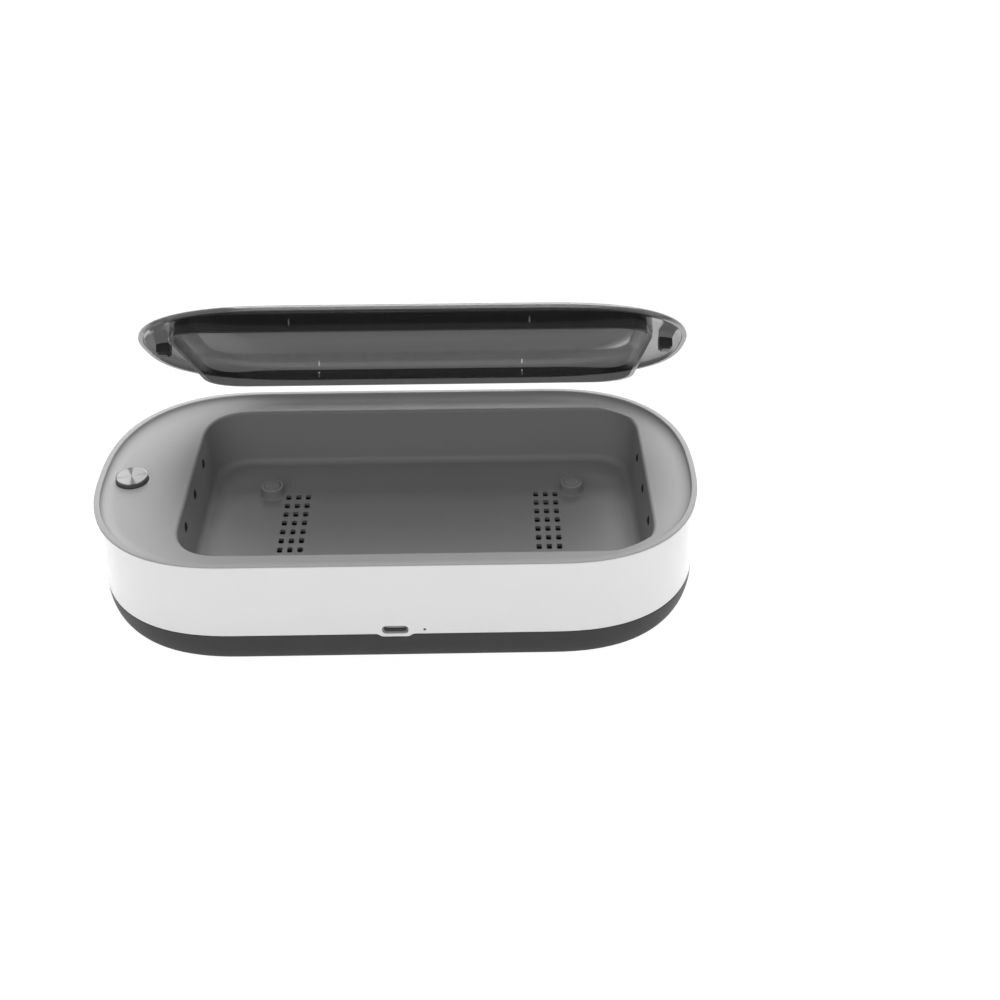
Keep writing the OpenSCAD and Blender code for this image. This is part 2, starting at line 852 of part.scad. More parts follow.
// One lamp board, drawn for the +X end of the tub
module led_board() {
  color("darkgreen")
    difference() {
      block([tub_l / 2 + strip_face, -strip_l / 2, port_z - strip_h / 2],
        [tub_l / 2 + strip_face + strip_t, strip_l / 2, port_z + strip_h / 2]);
      for (side = [-1, 1])
        translate([tub_l / 2 + strip_face - over, side * strip_boss_y, port_z])
          rotate([0, 90, 0])
            cylinder(h = strip_t + 2 * over, d = small_screw_d + 2 * fit);
    }
}

module uvc_leds() {
  color("gold")
    for (i = [0 : port_count - 1])
      translate([tub_l / 2 + lamp_face + lamp_t / 2, port_y(i), port_z])
        cube([lamp_t, lamp_size, lamp_size], center = true);
}

module led_windows() {
  color("thistle")
    for (i = [0 : port_count - 1])
      translate([tub_l / 2 - port_wall + tub_t / 2, port_y(i), port_z])
        rotate([0, 90, 0])
          cylinder(h = window_t, d = port_d - 0.06);
}

module one_end(side) {
  translate([tub_x, 0, 0])
    scale([side, 1, 1])
      children();
}

module led_board_left() { one_end(-1) led_board(); }
module led_board_right() { one_end(1) led_board(); }
module uvc_leds_left() { one_end(-1) uvc_leds(); }
module uvc_leds_right() { one_end(1) uvc_leds(); }
module led_windows_left() { one_end(-1) led_windows(); }
module led_windows_right() { one_end(1) led_windows(); }

// Lead from the foot of a lamp board to the nearer edge of the main board
module led_lead(x, to_x) {
  dir = to_x > x ? 1 : -1;
  run_z = board_low - lead_rise / 2;
  edge_z = board_low + board_t / 2;
  r = lead_bend;
  color("firebrick")
    lead(lead_y, concat(
      [[x, port_z - strip_h / 2]],
      [[x, run_z + r]],
      bend([x + dir * r, run_z + r], r, dir > 0 ? 180 : 0, dir * 90),
      [[x + dir * r, run_z]],
      [[to_x - dir * 2 * lead_rise, run_z]],
      [[to_x - dir * lead_rise, (run_z + edge_z) / 2]],
      [[to_x - dir * lead_d, edge_z]],
      [[to_x, edge_z]]
    ));
}

module led_lead_left() {
  led_lead(tub_left - strip_face - strip_t / 2, -board_l / 2);
}

module led_lead_right() {
  led_lead(tub_right + strip_face + strip_t / 2, board_l / 2);
}

// Lead from the switch board's inner edge to the main board
module button_lead() {
  from_x = -button_x + switch_board_w / 2;
  edge_z = board_low + board_t / 2;
  start_z = switch_low - board_t / 2;
  run_z = board_low - lead_rise;
  r = lead_bend;
  stub = 0.6;
  down_x = from_x + r + stub;
  color("steelblue")
    lead(button_lead_y, concat(
      [[from_x, start_z]],
      [[from_x + stub, start_z]],
      bend([from_x + stub, start_z - r], r, 90, -90),
      [[down_x, start_z - r]],
      [[down_x, run_z + r]],
      bend([down_x + r, run_z + r], r, 180, 90),
      [[down_x + r, run_z]],
      [[-board_l / 2 - 2 * lead_rise, run_z]],
      [[-board_l / 2 - lead_rise, (run_z + edge_z) / 2]],
      [[-board_l / 2 - lead_d, edge_z]],
      [[-board_l / 2, edge_z]]
    ));
}

module deck_magnets() {
  color("silver")
    each_end()
      disc(holder_x, -holder_front, deck_low + fit, deck_low + magnet_t, magnet_d);
}

// Magnetic sensor on the back of the right lamp board
module lid_sensor() {
  x = tub_right + strip_face + strip_t;
  size = [1.2, 4, 3];
  color([0.1, 0.1, 0.1])
    block([x, -size[1] / 2, port_z - size[2] / 2], [x + size[0], size[1] / 2, port_z + size[2] / 2]);
}

module phone_rest_pads() {
  color([0.3, 0.3, 0.31])
    for (p = rest_spots)
      disc(p[0], p[1], pad_low, pad_low + pad_t, pad_d);
}

// Closed form of the lid: drawn in by d, upright from foot to low, then rounded up by rise
module lid_form(d, foot, low, rise) {
  turn = [for (i = [0 : round_n]) 90 * i / round_n];
  lines = [
    for (a = turn)
      lid_line(d + (dome_end - d) * (1 - cos(a)), d + (dome_side - d) * (1 - cos(a)))
  ];
  loft(concat([lines[0]], lines), concat([foot], [for (a = turn) low + rise * sin(a)]));
}

// Hollow under the lid, drawn on down to foot
module lid_hollow(foot) {
  lid_form(lid_t, foot, lid_z, lid_edge_h + dome_h - lid_t);
}

module lid_cover() {
  skirt_low = lid_z - skirt_h;
  color([0.2, 0.2, 0.21, 0.6])
    tipped()
      union() {
        difference() {
          lid_form(0, lid_z, lid_z + lid_edge_h, dome_h);
          lid_hollow(lid_z - over);
        }
        intersection() {
          wall_ring(tub_line(skirt_gap), tub_line(skirt_gap + skirt_t), skirt_low,
            lid_z + lid_edge_h + dome_h);
          lid_form(lid_t / 2, skirt_low - over, lid_z, lid_edge_h + dome_h - lid_t / 2);
        }
      }
}

module lid_magnet_holders() {
  in_x = holder_x - holder_l / 2;
  out_x = holder_x + holder_l / 2;
  in_y = -holder_front - holder_w / 2;
  out_y = -holder_front + holder_w / 2;
  color([0.04, 0.04, 0.04])
    tipped()
      difference() {
        union() {
          intersection() {
            each_end()
              block([in_x, in_y, holder_low], [out_x, out_y, lid_z + dome_h]);
            lid_hollow(holder_low - over);
          }
          each_end()
            block([in_x + holder_step, in_y + holder_step, holder_low - holder_step_h],
              [out_x - holder_step, out_y - holder_step, holder_low + fit]);
        }
        each_end()
          disc(holder_x, -holder_front, magnet_low - fit, lid_z + dome_h + over, magnet_d + fit);
      }
}

module lid_magnets() {
  color("silver")
    tipped()
      each_end()
        disc(holder_x, -holder_front, magnet_low, magnet_low + magnet_t, magnet_d);
}

outer_shell();
inner_tub();
base_cover();
rubber_feet();
base_screws();
main_board();
board_components();
board_screws();
usb_c_receptacle();
status_led();
light_pipe();
switch_board();
button_switch();
led_board_left();
led_board_right();
uvc_leds_left();
uvc_leds_right();
led_windows_left();
led_windows_right();
led_lead_left();
led_lead_right();
button_lead();
deck_magnets();
lid_sensor();
phone_rest_pads();
button_cap();
switch_plunger();
lid_cover();
lid_magnet_holders();
lid_magnets();
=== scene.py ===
import json
import math

import bmesh
import bpy
from mathutils import Matrix, Vector


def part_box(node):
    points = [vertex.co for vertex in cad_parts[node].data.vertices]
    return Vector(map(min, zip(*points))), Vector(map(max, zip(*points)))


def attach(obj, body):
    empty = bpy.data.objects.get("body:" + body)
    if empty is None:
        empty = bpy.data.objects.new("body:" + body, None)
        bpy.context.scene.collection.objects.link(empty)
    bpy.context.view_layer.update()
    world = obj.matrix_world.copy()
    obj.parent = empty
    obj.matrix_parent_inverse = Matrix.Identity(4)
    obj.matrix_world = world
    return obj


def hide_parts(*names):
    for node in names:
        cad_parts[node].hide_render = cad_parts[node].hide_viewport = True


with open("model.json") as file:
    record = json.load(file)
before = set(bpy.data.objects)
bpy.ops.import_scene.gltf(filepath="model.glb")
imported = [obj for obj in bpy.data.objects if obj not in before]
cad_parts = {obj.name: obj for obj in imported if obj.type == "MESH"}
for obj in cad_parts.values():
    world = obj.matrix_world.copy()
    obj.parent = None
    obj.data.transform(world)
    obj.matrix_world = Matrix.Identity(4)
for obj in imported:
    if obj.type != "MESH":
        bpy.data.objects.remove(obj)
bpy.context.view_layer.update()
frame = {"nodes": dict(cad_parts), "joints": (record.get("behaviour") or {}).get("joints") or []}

# Sizes are in metres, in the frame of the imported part
nodes = frame["nodes"]
joints = {joint["name"]: joint for joint in frame["joints"]}
shellLow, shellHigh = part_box("outer_shell")
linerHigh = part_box("inner_tub")[1]
padLow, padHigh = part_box("phone_rest_pads")
lidLow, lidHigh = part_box("lid_cover")

outlines = {
    "fullness": 2.44,       # 2 would be an ellipse
    "steps": 26,            # points in a quarter of each outline
    "stationHalf": 0.0081,  # how far the extra points on the front go each way from the middle
    "stations": 31,
}

box = {
    "halfLength": (shellHigh.x - shellLow.x) / 2,
    "halfWidth": (shellHigh.y - shellLow.y) / 2,
    "endReach": 0.0565,
    "wall": 0.0022,
    "rimSkin": 0.0009,
    "rimTop": linerHigh.z,
    "capThick": 0.0008,
    "deckDrop": 0.0032,
    "deckThick": 0.002,
    "tabDepth": 0.0012,
    "tabFlat": 0.0043,
    "tabSlope": 0.0027,
}
box["seam"] = shellLow.z + box["tabDepth"]
box["deck"] = box["rimTop"] - box["deckDrop"]

tub = {
    "length": 0.1725,
    "width": 0.095,
    "middle": (padLow.x + padHigh.x) / 2,
    "corner": 0.0185,
    "floor": padHigh.z - 0.0042,
    "lean": 0.0018,
    "floorRound": 0.0028,
    "edgeRound": 0.0012,
    "thick": 0.0018,
}


merging = {"loft": 0.000004, "packed": 0.000002}  # points nearer than this become one


def deselectAll():
    if bpy.context.object and bpy.context.object.mode != "OBJECT":
        bpy.ops.object.mode_set(mode="OBJECT")
    bpy.ops.object.select_all(action="DESELECT")


def choose(piece):
    deselectAll()
    piece.select_set(True)
    bpy.context.view_layer.objects.active = piece


def applyModifier(piece, kind, **settings):
    choose(piece)
    modifier = piece.modifiers.new(kind.lower(), kind)
    for key, value in settings.items():
        setattr(modifier, key, value)
    bpy.ops.object.modifier_apply(modifier=modifier.name)


def cornerLine(halfLength, halfWidth, reachX, reachY, middle=0.0, full=outlines["fullness"]):
    # closed outline, counter-clockwise; every outline has the same number of points
    power = 2 / full
    steps = outlines["steps"]
    angles = [math.pi / 2 * i / steps for i in range(steps + 1)]
    corner = [
        (
            halfLength - reachX + reachX * abs(math.cos(a)) ** power,
            halfWidth - reachY + reachY * abs(math.sin(a)) ** power,
        )
        for a in angles
    ]
    half, count = outlines["stationHalf"], outlines["stations"]
    front = [(half * (2 * i / (count - 1) - 1) - middle, -halfWidth) for i in range(count)]
    points = corner + [(-x, y) for x, y in reversed(corner)]
    points += [(-x, -y) for x, y in corner] + front + [(x, -y) for x, y in reversed(corner)]
    return [(x + middle, y) for x, y in points]


def boxLine(inset):
    return cornerLine(box["halfLength"] - inset, box["halfWidth"] - inset,
                      box["endReach"] - inset, box["halfWidth"] - inset)


def tubLine(inset):
    return cornerLine(tub["length"] / 2 - inset, tub["width"] / 2 - inset,
                      tub["corner"] - inset, tub["corner"] - inset, tub["middle"])


def circleLine(x, y, radius, count=48):
    return [
        (x + radius * math.cos(2 * math.pi * i / count), y + radius * math.sin(2 * math.pi * i / count))
        for i in range(count)
    ]


def level(line, z, drop=0.0):
    # points of an outline at one height; drop lowers the middle of its front by the tab's soft step
    points = []
    for x, y in line:
        low = 0.0
        if drop and y < 0 and abs(x) < box["tabFlat"] + box["tabSlope"]:
            share = max(0.0, abs(x) - box["tabFlat"]) / box["tabSlope"]
            low = drop * (1 + math.cos(math.pi * share)) / 2
        points.append((x, y, z - low))
    return points


def arc(inset, z, outX, outZ, start, end, steps=6):
    # insets and heights along part of an ellipse, in degrees
    turns = [math.radians(start + (end - start) * i / steps) for i in range(steps + 1)]
    return [(inset + outX * math.cos(a), z + outZ * math.sin(a)) for a in turns]


def placeRing(points, wanted):
    for point, place in zip(points, wanted):
        point.co = place


def loft(name, rings, closed=False):
    # a circle is set to the first outline, then its edge is extruded to each of the others
    deselectAll()
    bpy.ops.mesh.primitive_circle_add(vertices=len(rings[0]), radius=1)
    piece = bpy.context.object
    piece.name = piece.data.name = name
    bpy.ops.object.mode_set(mode="EDIT")
    bpy.ops.mesh.select_mode(type="EDGE")
    bpy.ops.mesh.select_all(action="SELECT")
    mesh = bmesh.from_edit_mesh(piece.data)
    placeRing(mesh.verts, rings[0])
    spots = {v.index: i for i, v in enumerate(mesh.verts)}
    for ring in rings[1:] + (rings[:1] if closed else []):
        bpy.ops.mesh.extrude_region()
        mesh = bmesh.from_edit_mesh(piece.data)
        mesh.verts.index_update()
        fresh = {}
        for point in mesh.verts:
            if point.select:
                for edge in point.link_edges:
                    spot = spots.get(edge.other_vert(point).index)
                    if spot is not None:
                        fresh[spot] = point
        placeRing([fresh[i] for i in range(len(ring))], ring)
        spots = {point.index: spot for spot, point in fresh.items()}
    bmesh.update_edit_mesh(piece.data)
    bpy.ops.mesh.select_all(action="SELECT")
    bpy.ops.mesh.remove_doubles(threshold=merging["loft"])
    if not closed:
        bpy.ops.mesh.select_all(action="SELECT")
        bpy.ops.mesh.fill_holes(sides=0)
    bpy.ops.mesh.select_all(action="SELECT")
    bpy.ops.mesh.normals_make_consistent(inside=False)
    bpy.ops.object.mode_set(mode="OBJECT")
    return piece


def joinPieces(name, pieces):
    choose(pieces[0])
    for piece in pieces:
        piece.select_set(True)
    if len(pieces) > 1:
        bpy.ops.object.join()
    piece = bpy.context.object
    piece.name = piece.data.name = name
    return piece


def combine(piece, tool, operation="DIFFERENCE"):
    applyModifier(piece, "BOOLEAN", object=tool, operation=operation, solver="EXACT")
    bpy.data.objects.remove(tool)


def makeBlock(name, low, high):
    # a cube set to its two corners
    deselectAll()
    bpy.ops.mesh.primitive_cube_add(size=1, location=[(a + b) / 2 for a, b in zip(low, high)])
    piece = bpy.context.object
    piece.name = piece.data.name = name
    piece.scale = [b - a for a, b in zip(low, high)]
    bpy.ops.object.transform_apply(location=True, rotation=True, scale=True)
    return piece


def setFinish(piece, material):
    piece.data.materials.clear()
    piece.data.materials.append(material)


def finishPiece(piece, body, node, slot, material, angle=38):
    choose(piece)
    bpy.ops.object.shade_smooth_by_angle(angle=math.radians(angle))
    applyModifier(piece, "WEIGHTED_NORMAL", keep_sharp=True, weight=60)
    setFinish(piece, material)
    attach(piece, body)
    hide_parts(node)


def softened(node, name, width):
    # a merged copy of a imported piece, with its sharp edges rounded
    piece = nodes[node].copy()
    piece.data = nodes[node].data.copy()
    piece.parent = None
    for key in list(piece.keys()):
        del piece[key]
    bpy.context.scene.collection.objects.link(piece)
    piece.name = piece.data.name = name
    choose(piece)
    bpy.ops.object.mode_set(mode="EDIT")
    bpy.ops.mesh.select_all(action="SELECT")
    bpy.ops.mesh.remove_doubles(threshold=merging["packed"])
    bpy.ops.mesh.dissolve_limited(angle_limit=math.radians(1))
    bpy.ops.object.mode_set(mode="OBJECT")
    applyModifier(piece, "BEVEL", width=width, segments=2, limit_method="ANGLE",
                  angle_limit=math.radians(30))
    return piece


class Wire:
    # a node's output that takes part in plain arithmetic
    def __init__(self, finish, socket):
        self.finish = finish
        self.socket = socket

    def maths(self, operation, first, second=None):
        return self.finish.maths(operation, first, second)

    def __add__(self, other):
        return self.maths("ADD", self, other)

    __radd__ = __add__

    def __sub__(self, other):
        return self.maths("SUBTRACT", self, other)

    def __rsub__(self, other):
        return self.maths("SUBTRACT", other, self)

    def __mul__(self, other):
        return self.maths("MULTIPLY", self, other)

    __rmul__ = __mul__

    def __gt__(self, other):
        return self.maths("GREATER_THAN", self, other)

    def __abs__(self):
        return self.maths("ABSOLUTE", self)

    def sine(self):
        return self.maths("SINE", self)


class Finish:
    # one material: its principled shader, and nodes that feed it
    def __init__(self, name, colour, roughness, **values):
        self.material = bpy.data.materials.new(name)
        self.material.use_nodes = True
        self.tree = self.material.node_tree
        self.shader = self.tree.nodes["Principled BSDF"]
        self.shader.inputs["Base Color"].default_value = (*colour, 1)
        self.shader.inputs["Roughness"].default_value = roughness
        for key, value in values.items():
            self.shader.inputs[key.replace("_", " ")].default_value = value

    def node(self, kind, settings=None, values=None, output=0):
        made = self.tree.nodes.new(kind)
        for key, value in (settings or {}).items():
            if key == "stops":
                while len(made.color_ramp.elements) < len(value):
                    made.color_ramp.elements.new(0.5)
                for element, (place, grey) in zip(made.color_ramp.elements, value):
                    element.position = place
                    element.color = (grey, grey, grey, 1)
            else:
                setattr(made, key, value)
        for key, value in (values or {}).items():
            if isinstance(value, Wire):
                self.tree.links.new(value.socket, made.inputs[key])
            else:
                made.inputs[key].default_value = value
        return Wire(self, made.outputs[output])

    def maths(self, operation, first, second=None):
        values = {0: first} if second is None else {0: first, 1: second}
        return self.node("ShaderNodeMath", {"operation": operation}, values)

    def place(self):
        return self.node("ShaderNodeTexCoord", output="Object")

    def along(self, axis):
        return self.node("ShaderNodeSeparateXYZ", None, {0: self.place()}, output=axis)

    def noise(self, scale, detail=3, stretch=None):
        where = self.place()
        if stretch:
            where = self.node("ShaderNodeMapping", None, {"Vector": where, "Scale": stretch})
        return self.node("ShaderNodeTexNoise", None, {"Vector": where, "Scale": scale, "Detail": detail})

    def ramp(self, value, stops):
        return self.node("ShaderNodeValToRGB", {"stops": stops}, {0: value})

    def blend(self, share, first, second):
        # two colours by a share from 0 to 1
        return self.node("ShaderNodeMix", {"data_type": "RGBA"},
                         {0: share, 6: (*first, 1), 7: (*second, 1)}, output=2)

    def bump(self, height, strength, distance):
        return self.node("ShaderNodeBump", None,
                         {"Height": height, "Strength": strength, "Distance": distance})

    def feed(self, key, wire):
        self.tree.links.new(wire.socket, self.shader.inputs[key])


def shade(value):
    # colour of a grey that shows on a screen as value, from about 10 to 255
    return (((value / 255 + 0.055) / 1.055) ** 2.4,) * 3


moulding = {"clouds": 55, "glossDrift": 0.1, "grainStrength": 0.35}
scratching = {"marks": 900, "darkest": 0.86, "glossDrift": 0.16, "strength": 0.2, "deep": 0.00002}
turningAndPaintedReflection = {
    "paintedDarkAngle": 106,        # axis of the darker sectors of the painted reflection, in degrees
    "paintedDarkStops": [(0.0, 0.3), (0.1, 0.42), (0.26, 0.9), (0.4, 1.0)],
    "paintedFaintAngle": 16,
    "paintedFaintStops": [(0.0, 0.72), (0.08, 0.8), (0.2, 1.0)],
    "side": 0.6,             # painted shade: tone of the button's side, as a share of its face
    "faceDeep": 0.0005,
    "streaks": 9,
    "streakPitch": 20,
    "streakLow": 0.86,
    "streakRange": 0.28,
    "grooves": 9000,
    "grooveStrength": 0.12,
    "grooveDeep": 0.00002,
    "glossDrift": 0.1,
}


def mouldedFinish(name, colour, roughness, grain, depth, mottle, **values):
    # moulded plastic: a fine grain, and slight clouds of tone and gloss
    finish = Finish(name, colour, roughness, **values)
    clouds, drift = finish.noise(moulding["clouds"], 2), moulding["glossDrift"]
    darker = tuple(part * (1 - mottle) for part in colour)
    finish.feed("Base Color", finish.blend(clouds, darker, colour))
    finish.feed("Roughness", roughness - drift / 2 + clouds * drift)
    finish.feed("Normal", finish.bump(finish.noise(grain, 4), moulding["grainStrength"], depth))
    return finish


def metalFinish(name, colour, roughness, stretch, metallic=1.0):
    # metal with fine scratches drawn out along one direction
    finish = Finish(name, colour, roughness, Metallic=metallic)
    marks, drift = finish.noise(scratching["marks"], 3, stretch), scratching["glossDrift"]
    darker = tuple(part * scratching["darkest"] for part in colour)
    finish.feed("Roughness", roughness - drift / 2 + marks * drift)
    finish.feed("Base Color", finish.blend(marks, darker, colour))
    finish.feed("Normal", finish.bump(marks, scratching["strength"], scratching["deep"]))
    return finish


def turnedFinishPaintedReflection(name, tone, roughness):
    # lathe-turned face: two pairs of darker sectors painted into the colour as a reflection, fine streaks
    # and grooves round the middle
    colour = (tone, tone, tone)
    finish = Finish(name, colour, roughness, Metallic=1.0)
    low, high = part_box("button_cap")
    x = finish.along(0) - (low.x + high.x) / 2
    y = finish.along(1)
    radius = finish.maths("SQRT", x * x + y * y) + 0.0001
    away = finish.maths("DIVIDE", x, radius), finish.maths("DIVIDE", y, radius)

    def paintedSectors(angle, stops):
        # painted reflection: distance of the direction from an axis through the middle, as a tone
        turn = math.radians(angle)
        return finish.ramp(abs(away[0] * math.sin(turn) - away[1] * math.cos(turn)), stops)

    # painted reflection: the face is darkened in two pairs of sectors about its middle, standing in for
    # the highlights of turned metal
    deep = paintedSectors(turningAndPaintedReflection["paintedDarkAngle"], turningAndPaintedReflection["paintedDarkStops"])
    paintedFaint = paintedSectors(turningAndPaintedReflection["paintedFaintAngle"], turningAndPaintedReflection["paintedFaintStops"])
    around = finish.node("ShaderNodeCombineXYZ", None,
                         {0: away[0], 1: away[1], 2: radius * turningAndPaintedReflection["streakPitch"]})
    streaks = finish.node("ShaderNodeTexNoise", None,
                          {"Vector": around, "Scale": turningAndPaintedReflection["streaks"], "Detail": 4})
    side, drift = turningAndPaintedReflection["side"], turningAndPaintedReflection["glossDrift"]
    # painted shade: below the face, the colour drops to the darker side tone
    share = side + (deep * paintedFaint - side) * (finish.along(2) > high.z - turningAndPaintedReflection["faceDeep"])
    share = share * (turningAndPaintedReflection["streakLow"] + streaks * turningAndPaintedReflection["streakRange"])
    finish.feed("Base Color", finish.blend(share, (0.0, 0.0, 0.0), colour))
    finish.feed("Normal", finish.bump((radius * turningAndPaintedReflection["grooves"]).sine(), turningAndPaintedReflection["grooveStrength"],
                                      turningAndPaintedReflection["grooveDeep"]))
    finish.feed("Roughness", roughness - drift / 2 + streaks * drift)
    return finish


print("finishes")
wallFinish = mouldedFinish("white wall", shade(236), 0.24, 900, 0.00001, 0.015, Coat_Weight=0.35,
                           Coat_Roughness=0.08)
baseFinish = mouldedFinish("dark base", shade(37), 0.5, 2600, 0.00004, 0.08)
linerFinish = mouldedFinish("grey liner", shade(164), 0.55, 3200, 0.00004, 0.03)
padFinish = mouldedFinish("rest pads", shade(152), 0.6, 2600, 0.00003, 0.04)
rubberFinish = mouldedFinish("rubber", shade(44), 0.85, 2200, 0.00006, 0.1)
boardFinish = mouldedFinish("board lacquer", (0.03, 0.14, 0.06), 0.35, 700, 0.00002, 0.25)
chipFinish = mouldedFinish("chip resin", (0.02, 0.02, 0.022), 0.6, 3000, 0.00002, 0.2)
lampFinish = mouldedFinish("lamp ceramic", (0.75, 0.7, 0.5), 0.5, 1500, 0.00002, 0.05)
holderFinish = mouldedFinish("magnet holders", shade(20), 0.45, 2400, 0.00002, 0.1)
redLeadFinish = mouldedFinish("red lead", (0.4, 0.03, 0.03), 0.45, 1200, 0.00003, 0.08)
blueLeadFinish = mouldedFinish("blue lead", (0.03, 0.08, 0.35), 0.45, 1200, 0.00003, 0.08)
steelFinish = metalFinish("screw steel", (0.6, 0.6, 0.6), 0.35, (1, 1, 8))
socketFinish = metalFinish("socket steel", (0.34, 0.34, 0.34), 0.5, (1, 12, 1), 0.3)
nickelFinish = metalFinish("magnet nickel", (0.62, 0.61, 0.58), 0.25, (1, 1, 6))
buttonFinish = turnedFinishPaintedReflection("turned metal painted reflection", 0.27, 0.42)
windowFinish = mouldedFinish("lamp windows", (0.004, 0.0035, 0.005), 0.6, 900, 0.00001, 0.2)
pipeFinish = mouldedFinish("light pipe", (0.04, 0.04, 0.04), 0.2, 900, 0.00001, 0.1)
smoke = {"tone": 0.004, "roughness": 0.06, "alpha": 0.725, "reflects": 0.35,
         "clouds": 70, "glossLow": 0.04, "glossDrift": 0.06}
smokeFinish = Finish("smoked lid", (smoke["tone"],) * 3, smoke["roughness"], Alpha=smoke["alpha"],
                     Specular_IOR_Level=smoke["reflects"])
smokeClouds = smokeFinish.noise(smoke["clouds"], 2)
smokeFinish.feed("Roughness", smoke["glossLow"] + smokeClouds * smoke["glossDrift"])


def makeWall():
    print("white wall")
    size = {"foot": 0.0004, "top": 0.00012, "near": 0.001}
    deckLow = box["deck"] - box["deckThick"]
    seam, top = box["seam"], box["rimTop"] - box["capThick"]
    foot = arc(size["foot"], seam + size["foot"], -size["foot"], -size["foot"], 90, 0, 4)
    head = arc(size["top"], top - size["top"], -size["top"], size["top"], 0, 90, 3)
    profile = [(box["wall"], deckLow), (box["wall"], seam)] + foot + head
    profile += [(box["rimSkin"], top), (box["rimSkin"], deckLow)]
    rings = [level(boxLine(inset), z, box["tabDepth"] if z < seam + size["near"] else 0.0)
             for inset, z in profile]
    return loft("whiteWall", rings, closed=True)


def slotTool(width, height, front, z, flare, full=2.0):
    # stadium prism along Y, whose front end flares out; a full above 2 squares its ends
    size = {"before": 0.001, "deep": 0.004, "steps": 16, "flareTurns": (22, 45, 67, 90)}
    half, straight = height / 2, (width - height) / 2
    line = []
    for side in (1, -1):
        for i in range(size["steps"] + 1):
            a = math.radians(-90 + 180 * i / size["steps"])
            across, up = abs(math.cos(a)) ** (2 / full), abs(math.sin(a)) ** (2 / full)
            line.append((side * (straight + half * across), side * half * math.copysign(up, a)))

    def ring(y, grow):
        points, reach = [], (half + grow) / half
        for x, up in line:
            middle = math.copysign(straight, x)
            points.append((middle + (x - middle) * reach, y, z + up * reach))
        return points

    rings = [ring(front - size["before"], flare), ring(front, flare)]
    for turn in size["flareTurns"]:
        a = math.radians(turn)
        rings.append(ring(front + flare * (1 - math.cos(a)), flare * (1 - math.sin(a))))
    rings.append(ring(front + size["deep"], 0))
    return loft("slot tool", rings)


def cutWall(wall):
    size = {"slotRoom": 0.0004, "slotFlare": 0.00012, "slotFull": 2.7,
            "pinWide": 0.0011, "pinHigh": 0.001, "pinFlare": 0.0001}
    front = -box["halfWidth"]
    low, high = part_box("usb_c_receptacle")
    pipeLow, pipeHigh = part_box("light_pipe")
    z = (low.z + high.z) / 2
    combine(wall, slotTool(high.x - low.x + size["slotRoom"], high.z - low.z + size["slotRoom"],
                           front, z, size["slotFlare"], size["slotFull"]))
    pin = slotTool(size["pinWide"], size["pinHigh"], front, z, size["pinFlare"])
    pin.data.transform(Matrix.Translation(((pipeLow.x + pipeHigh.x) / 2, 0, 0)))
    combine(wall, pin)
    return wall


def makeLiner():
    print("grey liner")
    size = {"rimWide": 0.0021, "rimOuter": 0.0003, "rimInner": 0.0005,
            "filletWide": 0.0048, "filletHigh": 0.0027, "gap": 0.0001}
    top, deck, floor = box["rimTop"], box["deck"], tub["floor"]
    deckLow, capLow = deck - box["deckThick"], top - box["capThick"]
    under = box["rimSkin"] + size["gap"]
    thick, floorRound, edge = tub["thick"], tub["floorRound"], tub["edgeRound"]
    lean = tub["lean"] * (1 - floorRound / (deck - floor))
    middle = lean + floorRound, floor + floorRound
    below = arc(*middle, -(floorRound + thick), -(floorRound + thick), 90, 0, 5)
    rings = [level(tubLine(inset), z) for inset, z in below]
    rings.append(level(tubLine(-thick), deckLow))
    rings += [level(boxLine(inset), z) for inset, z in ((under, deckLow), (under, capLow), (0, capLow))]
    rim = arc(size["rimOuter"], top - size["rimOuter"], -size["rimOuter"], size["rimOuter"], 0, 90, 4)
    wide, inner = size["rimWide"], size["rimInner"]
    reach, high = size["filletWide"], size["filletHigh"]
    rim += arc(wide - inner, top - inner, inner, inner, 90, 0, 4)
    rim += arc(wide + reach, deck + high, -reach, -high, 0, 90, 12)
    rings += [level(boxLine(inset), z) for inset, z in rim]
    inside = arc(-edge, deck - edge, edge, edge, 90, 0, 7)
    inside += arc(*middle, -floorRound, -floorRound, 0, 90, 9)
    rings += [level(tubLine(inset), z) for inset, z in inside]
    return loft("greyLiner", rings)


def portSpots(node):
    # places along Y of the three lamp ports at one end, and their height and radius
    low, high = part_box(node)
    radius, middle = (high.z - low.z) / 2, (low.z + high.z) / 2
    return [low.y + radius + (high.y - low.y - 2 * radius) * i / 2 for i in range(3)], middle, radius


